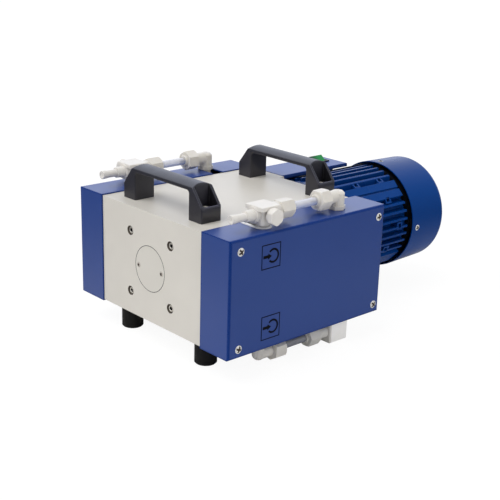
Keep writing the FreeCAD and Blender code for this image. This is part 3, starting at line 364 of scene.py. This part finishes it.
rockerLook = {
    "front": (0.002, 0.045, 0.012), "rear": (0.010, 0.280, 0.060), "rim": (0.001, 0.02, 0.006),
    "reach": 0.7, "cloud": 200, "stir": 0.002, "paintedEdge": 0.8, "edge": 0.0008, "grain": 900,
    "height": 0.00001, "strength": 0.8, "roughness": 0.24, "gloss": 0.4}


def rockerFinish(name):  # darker green towards the rocker's front end and dark along its edges: painted shade
    f = Finish(name)
    look = rockerLook
    soft, rim = f.edges(look["edge"])
    low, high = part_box("rocker")
    place = f.along("Y") + f.noise(look["cloud"], 2) * look["stir"]
    share = f.ramp(place, low.y, low.y + look["reach"] * (high.y - low.y))
    base = f.mix(share, shade(look["front"]), shade(look["rear"]))
    return f.close(f.shader(
        Base_Color=f.mix(rim * look["paintedEdge"], base, shade(look["rim"])),
        Roughness=look["roughness"],
        Normal=f.bump(f.noise(look["grain"]), look["height"], look["strength"], soft),
        Specular_IOR_Level=look["gloss"]))


finishes = {}
for make, looks in ((paintFinish, paints), (plasticFinish, plastics), (metalFinish, metals),
                    (tubeFinish, tubes)):
    finishes.update({name: make(name, **look) for name, look in looks.items()})
for make, name in ((nutFinish, "nutPlastic"), (outletFinish, "outletPlastic"),
                   (rockerFinish, "switchGreen")):
    finishes[name] = make(name)

slotFinish = {
    "housing_paint": "housingPaint", "cover_paint": "coverPaint", "motor_paint": "motorPaint",
    "disc_paint": "discPaint", "foot_rubber": "footRubber", "handle_plastic": "handlePlastic",
    "fitting_plastic": "fittingPlastic", "nut_plastic": "nutPlastic",
    "tube_plastic": "tubePlastic", "head_plastic": "headPlastic", "head_metal": "headMetal",
    "diaphragm_face": "diaphragmFace", "rod_metal": "rodMetal", "steel": "groundSteel",
    "core_steel": "coreSteel", "fan_plastic": "fanPlastic", "switch_black": "switchBlack",
    "switch_green": "switchGreen",
}
nodeFinish = {  # nodes that look unlike the rest of their slot
    # the rear shield near black, a painted shade; the lower tubes a painted shade copy; the
    # outlets with a painted glow
    "rear_shield": "shieldDark", "tube_lower_right": "tubeShaded",
    "tube_lower_left": "tubeShaded", "outlet_right": "outletPlastic",
    "outlet_left": "outletPlastic",
}
for part in frame["record"]["subparts"]:
    mesh = nodes[part["node"]].data
    mesh.materials.clear()
    finish = nodeFinish.get(part["node"], slotFinish[part["material_slot"]])
    mesh.materials.append(finishes[finish])
print("finishes set:", len(finishes))


# new pieces

mergeGaps = {"made": 1e-7, "cad": 1e-6}
shaftHeight = 0.106
blockLow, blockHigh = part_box("crankcase")
motorLow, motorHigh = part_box("motor_frame")
sides = (("right", 1), ("left", -1))


def gridFaces(rows, columns):  # quads of a grid whose columns close round
    i, j = np.meshgrid(np.arange(rows - 1), np.arange(columns), indexing="ij")
    k = (j + 1) % columns
    corners = [i * columns + j, i * columns + k, (i + 1) * columns + k, (i + 1) * columns + j]
    return np.stack(corners, -1).reshape(-1, 4)


def addObject(name, data):
    piece = bpy.data.objects.new(name, data)
    bpy.context.scene.collection.objects.link(piece)
    return piece


def makeObject(name, points, faces, finish, second=None, chosen=None):
    mesh = bpy.data.meshes.new(name)
    mesh.from_pydata(points.reshape(-1, 3).tolist(), [], faces.tolist())
    if second:  # those faces that take the second finish
        mesh.polygons.foreach_set("material_index", chosen.astype(np.int32))
    work = bmesh.new()
    work.from_mesh(mesh)
    bmesh.ops.remove_doubles(work, verts=work.verts, dist=mergeGaps["made"])
    bmesh.ops.recalc_face_normals(work, faces=work.faces)
    work.to_mesh(mesh)
    work.free()
    mesh.materials.append(finishes[finish])
    if second:
        mesh.materials.append(finishes[second])
    return addObject(name, mesh)


def makePiece(name, points, faces, finish, second=None, chosen=None):
    piece = makeObject(name, points, faces, finish, second, chosen)
    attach(piece, "machine")
    return piece


def circle(columns):  # angles spaced evenly round
    return np.linspace(0, 2 * math.pi, columns, endpoint=False)


def stand(points, at, outward, spin=0.0):  # turn +Z to the outward direction and move to at
    turn = Vector((0, 0, 1)).rotation_difference(Vector(outward)).to_matrix()
    turn = np.array(turn @ Matrix.Rotation(spin, 3, "Z"))
    return points.reshape(-1, 3) @ turn.T + np.array(at)


def lathe(rows, angle):  # each row's radius and height, turned round Z
    return np.array([
        np.stack([r * np.cos(angle), r * np.sin(angle), 0 * angle + z], -1) for r, z in rows])


def ring(name, at, outward, rows, finish, columns):  # a profile turned round the direction
    points = stand(lathe(rows, circle(columns)), at, outward)
    return makePiece(name, points, gridFaces(len(rows), columns), finish)


def wallRows(inner, outer, front, back):  # the closed profile of a tube's wall
    return [(inner, front), (outer, front), (outer, back), (inner, back), (inner, front)]


crossSizes = {
    "cover": {"radius": 0.0051, "rise": 0.0018, "arm": 0.0041, "cut": 0.0011, "deep": 0.0007},
    "disc": {"radius": 0.0036, "rise": 0.0009, "arm": 0.0022, "cut": 0.0009, "deep": 0.0005},
    "cowl": {"radius": 0.0047, "rise": 0.0019, "arm": 0.0030, "cut": 0.0009, "deep": 0.001},
    "boss": {"radius": 0.0027, "rise": 0.0014, "arm": 0.0017, "cut": 0.0006, "deep": 0.0008},
}
crossShape = {"rows": 26, "columns": 96, "sunk": 0.0004, "slope": 0.6, "shift": 0.4,
              "taper": 0.3, "inside": 0.25}


def crossScrew(name, kind, at, outward, spin, finish, recess):
    # height over a disc: a dome, less a cross whose arms have sloped sides
    size, shape = crossSizes[kind], crossShape
    share = np.concatenate([np.linspace(0, 1, shape["rows"]), [1.0, 0.0]])[:, None]
    angle = circle(shape["columns"])[None, :]
    x = size["radius"] * share * np.cos(angle)
    y = size["radius"] * share * np.sin(angle)
    arms = [
        np.clip((size["cut"] - np.abs(a)) / (size["cut"] * shape["slope"]) + shape["shift"], 0, 1)
        * np.clip((size["arm"] - np.abs(b)) / (size["arm"] * shape["taper"]), 0, 1)
        for a, b in ((x, y), (y, x))
    ]
    hollow = np.maximum(*arms)
    z = size["rise"] * (1 - share ** 2) - size["deep"] * hollow
    z[-2:] = -shape["sunk"]
    points = stand(np.stack([x, y, z], -1), at, outward, spin)
    faces = gridFaces(len(share), angle.size)
    inside = hollow.ravel()[faces].mean(1) > shape["inside"]
    return makePiece(name, points, faces, finish, recess, inside)


socketShape = {"columns": 48, "floor": 0.55, "wall": 0.5, "lip": 0.0004, "bevel": 0.0006}


def socketScrew(name, at, outward, size, finish, recess):
    # a lathe whose inner rows follow a hexagon: apothem over the cosine from the flat's middle
    shape = socketShape
    radius, height = size["radius"], size["height"]
    angle = circle(shape["columns"])
    hexagon = size["socket"] / np.cos((angle + math.pi / 6) % (math.pi / 3) - math.pi / 6)
    rows = [
        (0, -shape["floor"] * height), (hexagon, -shape["wall"] * height),
        (hexagon, -shape["lip"]), (hexagon + shape["lip"], 0.0),
        (radius - shape["bevel"], 0.0), (radius, -shape["bevel"]), (radius, -height),
        (0, -height)]
    faces = gridFaces(len(rows), angle.size)
    inside = faces.max(1) < 3 * angle.size  # the socket's floor and walls
    return makePiece(
        name, stand(lathe(rows, angle), at, outward), faces, finish, recess, inside)


coverScrews = {"fromFront": 0.0145, "fromRear": 0.009, "heights": (0.165, 0.046), "spin": 0.6}
for sideName, sign in sides:
    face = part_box(sideName + "_cover")[1 if sign > 0 else 0].x
    stations = blockLow.y + coverScrews["fromFront"], blockHigh.y - coverScrews["fromRear"]
    spots = [(y, z) for y in stations for z in coverScrews["heights"]]
    for number, (y, z) in enumerate(spots, 1):
        crossScrew(
            "cover_screw_%s_%d" % (sideName, number), "cover", (face, y, z), (sign, 0, 0),
            coverScrews["spin"] * number, "brightNickel", "recessBrown")

discScrews = {"across": 0.023, "height": 0.1057, "spin": 0.5}
for number, sign in enumerate((-1, 1), 1):
    crossScrew(
        "disc_screw_%d" % number, "disc",
        (sign * discScrews["across"], blockLow.y, discScrews["height"]), (0, -1, 0),
        discScrews["spin"] * number, "screwPale", "recessBrown")

seam = {"inner": 0.02906, "outer": 0.02978, "proud": 0.00006, "sunk": 0.0008, "columns": 120}
ring("disc_seam", (0, blockLow.y, shaftHeight), (0, -1, 0),
     wallRows(seam["inner"], seam["outer"], seam["proud"], -seam["sunk"]), "recessDark",
     seam["columns"])

seatScrews = {"across": 0.0405, "heights": (0.0659, 0.1461), "sunk": 0.0014,
              "radius": 0.0046, "height": 0.0060, "socket": 0.0023}
# each counterbore's wall is lined in dark brown: a painted shade inside the bore
seatBores = {"inner": 0.0056, "outer": 0.0061, "mouth": 0.0001, "deep": 0.0055, "columns": 48}
seats = [(sign * seatScrews["across"], z) for sign in (-1, 1) for z in seatScrews["heights"]]
for number, (x, z) in enumerate(seats, 1):
    socketScrew(
        "seat_screw_%d" % number, (x, blockLow.y + seatScrews["sunk"], z), (0, -1, 0),
        seatScrews, "screwSteel", "recessDark")
    ring("seat_bore_%d" % number, (x, blockLow.y, z), (0, -1, 0),
         wallRows(seatBores["inner"], seatBores["outer"], -seatBores["mouth"],
                  -seatBores["deep"]), "boreBrown", seatBores["columns"])

pockets = {"wall": 0.0016, "reach": 0.0185, "halfWidth": 0.0115, "floor": 0.0080,
           "top": 0.05, "corner": 0.0012, "sharp": 28, "columns": 32}


def prism(name, centre, halves, low, top):
    # a rectangle whose corners are quarter circles, drawn upwards
    turn = circle(pockets["columns"]) + math.pi / pockets["columns"]
    corner = pockets["corner"]
    x = np.sign(np.cos(turn)) * (halves[0] - corner) + corner * np.cos(turn)
    y = np.sign(np.sin(turn)) * (halves[1] - corner) + corner * np.sin(turn)
    points = np.array([
        np.stack([centre[0] + x * r, centre[1] + y * r, 0 * x + z], -1)
        for r, z in ((0, low), (1, low), (1, top), (0, top))])
    return makeObject(name, points, gridFaces(len(points), turn.size), "pocketPlastic")


def openPockets(name):
    # the handle's own surface, less one prism over each pocket, so that its walls are thin
    small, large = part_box(name)
    mesh = bpy.data.meshes.new(name + "_shell")
    work = bmesh.new()
    work.from_mesh(nodes[name].data)
    bmesh.ops.remove_doubles(work, verts=work.verts, dist=mergeGaps["cad"])
    work.to_mesh(mesh)
    work.free()
    mesh.materials.append(finishes["handlePlastic"])
    shell = addObject(name + "_shell", mesh)
    half = (pockets["reach"] - pockets["wall"]) / 2
    middles = small.x + pockets["wall"] + half, large.x - pockets["wall"] - half
    cutters = [
        prism("%s_cutter_%d" % (name, number), (x, (small.y + large.y) / 2),
              (half, pockets["halfWidth"]), small.z + pockets["floor"],
              small.z + pockets["top"])
        for number, x in enumerate(middles)]
    for cutter in cutters:
        step = shell.modifiers.new("pocket", "BOOLEAN")
        step.operation = "DIFFERENCE"
        step.solver = "EXACT"
        step.material_mode = "TRANSFER"
        step.object = cutter
    whole = bpy.data.meshes.new_from_object(
        shell.evaluated_get(bpy.context.evaluated_depsgraph_get()))
    shell.modifiers.clear()
    whole.shade_smooth()
    whole.set_sharp_from_angle(angle=math.radians(pockets["sharp"]))
    shell.data = whole
    even = shell.modifiers.new("even", "WEIGHTED_NORMAL")  # flat faces stay flat to the eye
    even.keep_sharp = True
    for cutter in cutters:
        bpy.data.objects.remove(cutter)
    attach(shell, "machine")
    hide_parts(name)


pocketScrews = {"inset": 0.01085, "radius": 0.0064, "height": 0.0092, "socket": 0.0026}
for name in ("front_handle", "rear_handle"):
    openPockets(name)
    small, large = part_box(name)
    top = small.z + pockets["floor"] + pocketScrews["height"]
    for sideName, x in (("left", small.x + pocketScrews["inset"]),
                        ("right", large.x - pocketScrews["inset"])):
        socketScrew(
            "%s_screw_%s" % (name, sideName), (x, (small.y + large.y) / 2, top), (0, 0, 1),
            pocketScrews, "recessDark", "brightNickel")


def aboutShaft(angle, radius, y):  # a point on a circle about the shaft, and the way outwards
    out = Vector((math.cos(math.radians(angle)), 0, math.sin(math.radians(angle))))
    return out * radius + Vector((0, y, shaftHeight)), out


cowlScrews = {
    "radius": 0.0778, "fromRim": 0.0115, "spin": 0.4,
    "kinds": ((-4, "brightNickel"), (90, "zincScrew"), (180, "brightNickel"),
              (270, "brightNickel"))}
for number, (angle, finish) in enumerate(cowlScrews["kinds"], 1):
    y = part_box("fan_cowl")[0].y + cowlScrews["fromRim"]
    at, out = aboutShaft(angle, cowlScrews["radius"], y)
    crossScrew("cowl_screw_%d" % number, "cowl", at, out, cowlScrews["spin"] * number, finish,
               "recessDark")

bossScrews = {  # angle about the shaft, and share of the motor's length
    "radius": 0.0684, "halfBoss": 0.0055, "spin": 0.7,
    "spots": ((60, 0.39), (60, 0.74), (34, 0.69), (2, 0.80), (-25, 0.66), (120, 0.6),
              (205, 0.6))}
for number, (angle, share) in enumerate(bossScrews["spots"], 1):
    y = motorLow.y + (motorHigh.y - motorLow.y) * share + bossScrews["halfBoss"]
    at, out = aboutShaft(angle, bossScrews["radius"], y)
    crossScrew("boss_screw_%d" % number, "boss", at, out, bossScrews["spin"] * number,
               "motorPaint", "recessDark")

finShadeStrip = {"radius": 0.0743, "thick": 0.0010, "from": 104, "to": 128, "ends": 0.004,
            "columns": 17}


def arcPlate(name, size, finish):
    # a sheet bent about the shaft: radius inside and outside, swept along Y between the ends
    angle = np.radians(np.linspace(size["from"], size["to"], size["columns"]))
    r = np.repeat([size["radius"], size["radius"] + size["thick"]], angle.size)
    turn = np.concatenate([angle, angle[::-1]])
    x, z = r * np.cos(turn), r * np.sin(turn)
    middleX = size["radius"] * math.cos(angle.mean())
    middleZ = size["radius"] * math.sin(angle.mean())
    low, high = motorLow.y + size["ends"], motorHigh.y - size["ends"]
    points = np.array([
        np.stack([middleX + (x - middleX) * share, 0 * x + y,
                  middleZ + (z - middleZ) * share + shaftHeight], -1)
        for share, y in ((0, low), (1, low), (1, high), (0, high))])
    return makePiece(name, points, gridFaces(len(points), x.size), finish)


# a dark strip along the topmost fins: painted shade where the fins' shaded sides show
arcPlate("fin_shade_strip", finShadeStrip, "signInk")
print("screws and strip made")


def across(path):  # each point's normal in the plane, from the run of its neighbours
    run = np.gradient(path, axis=0)
    normal = np.stack([-run[:, 1], run[:, 0]], -1)
    return normal / np.linalg.norm(normal, axis=1)[:, None]


def mitred(path):  # a closed path's normals, longer where it turns, so that its width stays
    back, ahead = np.roll(path, 1, 0), np.roll(path, -1, 0)
    first = (path - back) / np.linalg.norm(path - back, axis=1)[:, None]
    second = (ahead - path) / np.linalg.norm(ahead - path, axis=1)[:, None]
    normal = np.stack([-(first + second)[:, 1], (first + second)[:, 0]], -1)
    return normal / (1 + (first * second).sum(1))[:, None]


def ribbon(path, halfWidth, closed=False):
    # flat strip along a plane path: each point goes out by its normal, front and back
    path = np.array(path, float)
    normal = mitred(path) if closed else across(path)
    width = np.broadcast_to(np.array(halfWidth, float), len(path))[:, None]
    left, right = path + normal * width, path - normal * width
    back, front = np.zeros(len(path)), np.ones(len(path))
    rows = np.array([
        np.c_[left, back], np.c_[right, back], np.c_[right, front], np.c_[left, front]])
    return rows.transpose(1, 0, 2)  # along, around, (u, v, front or back)


signSize = {
    "side": 0.0290, "line": 0.00058, "arcRadius": 0.0078, "arcCentre": 0.0034,
    "arcLine": 0.00122, "arcOpening": 42, "arcColumns": 49, "arrowFrom": -0.0124,
    "neck": -0.0048, "step": 0.00001, "arrowTip": 0.0008, "shaft": 0.0018, "head": 0.0037,
    "point": 0.0001, "proud": 0.00012, "sunk": 0.0001}
signPlaces = {"upper": (-0.1815, 0.1511), "lower": (-0.1787, 0.0622)}


def signStrips():  # a square frame, an arc open on its left and an arrow through the opening
    size = signSize
    half = size["side"] / 2
    square = ribbon([(-half, -half), (half, -half), (half, half), (-half, half)], size["line"],
                    True)
    turn = np.radians(np.linspace(
        -180 + size["arcOpening"], 180 - size["arcOpening"], size["arcColumns"]))
    arc = size["arcRadius"] * np.stack([np.cos(turn), np.sin(turn)], -1)
    arc = ribbon(arc + (size["arcCentre"], 0), size["arcLine"])
    u = np.array([size["arrowFrom"], size["neck"], size["neck"] + size["step"],
                  size["arrowTip"]])
    arrow = ribbon(np.stack([u, 0 * u], -1),
                   [size["shaft"], size["shaft"], size["head"], size["point"]])
    return (square, True), (arc, False), (arrow, False)


def signPiece(name, strips, y, z):
    # the strips laid on the cover's face, their front proud of it and their back sunk in
    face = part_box("right_cover")[1].x
    points, faces, count = [], [], 0
    for strip, closed in strips:
        if closed:
            strip = np.concatenate([strip, strip[:1]])
        else:  # closed ends
            ends = [end.mean(1, keepdims=True).repeat(4, 1) for end in (strip[:1], strip[-1:])]
            strip = np.concatenate([ends[0], strip, ends[1]])
        depth = np.interp(strip[..., 2], [0, 0.5, 1], [-signSize["sunk"], 0, signSize["proud"]])
        points.append(np.stack(
            [face + depth, y + strip[..., 0], z + strip[..., 1]], -1).reshape(-1, 3))
        faces.append(gridFaces(len(strip), 4) + count)
        count += len(points[-1])
    return makePiece(name, np.concatenate(points), np.concatenate(faces), "signInk")


for name, (y, z) in signPlaces.items():
    signPiece("flow_sign_" + name, signStrips(), y, z)
print("signs made")

slot = {"halfWidth": 0.00915, "thick": 0.0019, "station": -0.17545, "reach": 0.128,
        "start": 0.002, "bendColumns": 25, "around": 12}
nozzleBore = {"radius": 0.0035, "skin": 0.0002, "mouth": 0.0004, "deep": 0.011,
              "height": 0.1965, "columns": 40}


def slotBead(sideName, sign):
    # a round bead along the slot's edge: in along one side, half round the end, and back
    half = slot["halfWidth"]
    start = blockHigh.x + slot["start"]
    bend = np.radians(np.linspace(-90, 90, slot["bendColumns"]))
    x = np.concatenate([[start], slot["reach"] + half * np.cos(bend), [start]])
    y = np.concatenate([[-half], half * np.sin(bend), [half]])
    path = np.stack([sign * x, slot["station"] + y], -1)
    ends = [0, *range(len(path)), -1]  # each end twice, the first time with no radius
    path, normal = path[ends], across(path)[ends]
    radius = np.full((len(ends), 1), slot["thick"])
    radius[[0, -1]] = 0
    around = circle(slot["around"])
    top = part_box(sideName + "_cover")[1].z
    points = np.stack([
        path[:, :1] + normal[:, :1] * radius * np.cos(around),
        path[:, 1:] + normal[:, 1:] * radius * np.cos(around),
        top + radius * np.sin(around)], -1)
    return makePiece(
        "slot_edging_" + sideName, points, gridFaces(len(path), len(around)), "slotEdging")


def nozzleLining(sideName, sign):  # a cup inside the nozzle with a painted glow, standing in for light that shows through its wall
    inner, deep, mouth = nozzleBore["radius"], nozzleBore["deep"], nozzleBore["mouth"]
    outer, end = inner + nozzleBore["skin"], deep + nozzleBore["skin"]
    rows = [(0, -deep), (inner, -deep), (inner, -mouth), (outer, -mouth), (outer, -end),
            (0, -end)]
    at = sign * slot["reach"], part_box("tee_" + sideName)[0].y, nozzleBore["height"]
    return ring("nozzle_bore_" + sideName, at, (0, -1, 0), rows, "boreGlow",
                nozzleBore["columns"])


for sideName, sign in sides:
    nozzleLining(sideName, sign)
    slotBead(sideName, sign)
print("slot edging made")


# floor, light and camera

floorLook = {
    "half": 6.0, "lit": (0.86, 0.86, 0.86), "seen": (0.11, 0.11, 0.11), "glow": 0.93,
    "near": (1.0, 0.97, 0.93), "beside": (0.46, 0.49, 0.54), "turn": (-0.04, 0.20),
    "far": (0.10, 0.105, 0.12), "sheet": (0.3, 0.8), "roughness": 0.9}


def floorFinish(name):
    # white to the camera; to glossy rays a pale sheet, darker at one side and far away
    f = Finish(name)
    look = floorLook
    seen = f.add("LightPath", output="Is Camera Ray")
    glossy = f.add("LightPath", output="Is Glossy Ray")
    away = f.add("VectorMath", {"operation": "LENGTH"}, {0: f.place}, "Value")
    sheet = f.mix(f.ramp(f.along("X"), *look["turn"]), shade(look["near"]), shade(look["beside"]))
    mirrored = f.mix(f.ramp(away, *look["sheet"]), sheet, shade(look["far"]))
    base = f.mix(seen, shade(look["lit"]), shade(look["seen"]))
    return f.close(f.shader(
        Base_Color=f.mix(glossy, base, mirrored), Roughness=look["roughness"],
        Specular_IOR_Level=0.0, Emission_Strength=1.0,
        Emission_Color=f.mix(seen, shade((0, 0, 0)), shade((1, 1, 1), look["glow"]))))


r = floorLook["half"]
floorMesh = bpy.data.meshes.new("floor")
floorMesh.from_pydata([(-r, -r, 0), (r, -r, 0), (r, r, 0), (-r, r, 0)], [], [(0, 1, 2, 3)])
floorMesh.materials.append(floorFinish("paleFloor"))
floor = addObject("floor", floorMesh)

skyLook = {"shown": 1.0, "lighting": 0.52, "toward": (-0.7, 0.7, 0.14), "from": 0.15,
           "to": 0.9, "dim": 0.12, "bright": 1.38, "cool": (0.93, 0.99, 1.15, 1)}


def skyFinish(name):
    # white to the camera, even as light, and to glossy rays a bright side on a dim studio
    f = Finish(name, "worlds", "Generated")
    look = skyLook
    seen = f.add("LightPath", output="Is Camera Ray")
    glossy = f.add("LightPath", output="Is Glossy Ray")
    toward = Vector(look["toward"]).normalized()
    facing = f.add("VectorMath", {"operation": "DOT_PRODUCT"}, {0: f.place, 1: toward}, "Value")
    mirrored = f.ramp(
        facing, look["from"], look["to"], look["dim"], look["bright"], "SMOOTHSTEP")
    level = f.add("Mix", None, {"Factor": glossy, "A": look["lighting"], "B": mirrored})
    level = f.add("Mix", None, {"Factor": seen, "A": level, "B": look["shown"]})
    colour = f.mix(glossy, shade((1, 1, 1)), look["cool"])
    light = f.add("Background", None, {"Color": colour, "Strength": level})
    return f.close(light, "OutputWorld")


bpy.context.scene.world = skyFinish("studio")

lamps = {
    "key": {"kind": "SUN", "place": (-0.35, -0.95, 1.75), "aim": (0, 0, 0), "power": 1.60,
            "angle": 0.85},
    "side": {"kind": "AREA", "place": (1.75, 0.75, 1.1), "aim": (0, 0, 0.1), "power": 5.4,
             "size": 1.2},
}
for name, look in lamps.items():
    lamp = bpy.data.lights.new(name, look["kind"])
    lamp.energy = look["power"]
    if look["kind"] == "SUN":
        lamp.angle = look["angle"]
    else:
        lamp.size = look["size"]
    holder = addObject(name, lamp)
    holder.location = look["place"]
    away = Vector(look["aim"]) - Vector(look["place"])
    holder.rotation_euler = away.to_track_quat("-Z", "Y").to_euler()

shot = {"place": (0.9579, -0.95795, 0.5271), "azimuth": 47.37, "elevation": 18.27,
        "roll": 1.69, "lens": 73.515, "sensor": 36.0, "nearest": 0.05}
turned, raised, rolled = (math.radians(shot[key]) for key in ("azimuth", "elevation", "roll"))
backward = Vector((math.sin(turned) * math.cos(raised), -math.cos(turned) * math.cos(raised),
                   math.sin(raised)))
rightward = (-backward).cross(Vector((0, 0, 1))).normalized()
upward = rightward.cross(-backward)
axisX = rightward * math.cos(rolled) + upward * math.sin(rolled)
axisY = upward * math.cos(rolled) - rightward * math.sin(rolled)
camera = addObject("camera", bpy.data.cameras.new("camera"))
camera.data.lens = shot["lens"]
camera.data.sensor_width = shot["sensor"]
camera.data.clip_start = shot["nearest"]
camera.matrix_world = Matrix.Translation(shot["place"]) @ Matrix(
    (axisX, axisY, backward)).transposed().to_4x4()
bpy.context.scene.camera = camera
bpy.context.scene.view_settings.view_transform = "Standard"
print("stage set")
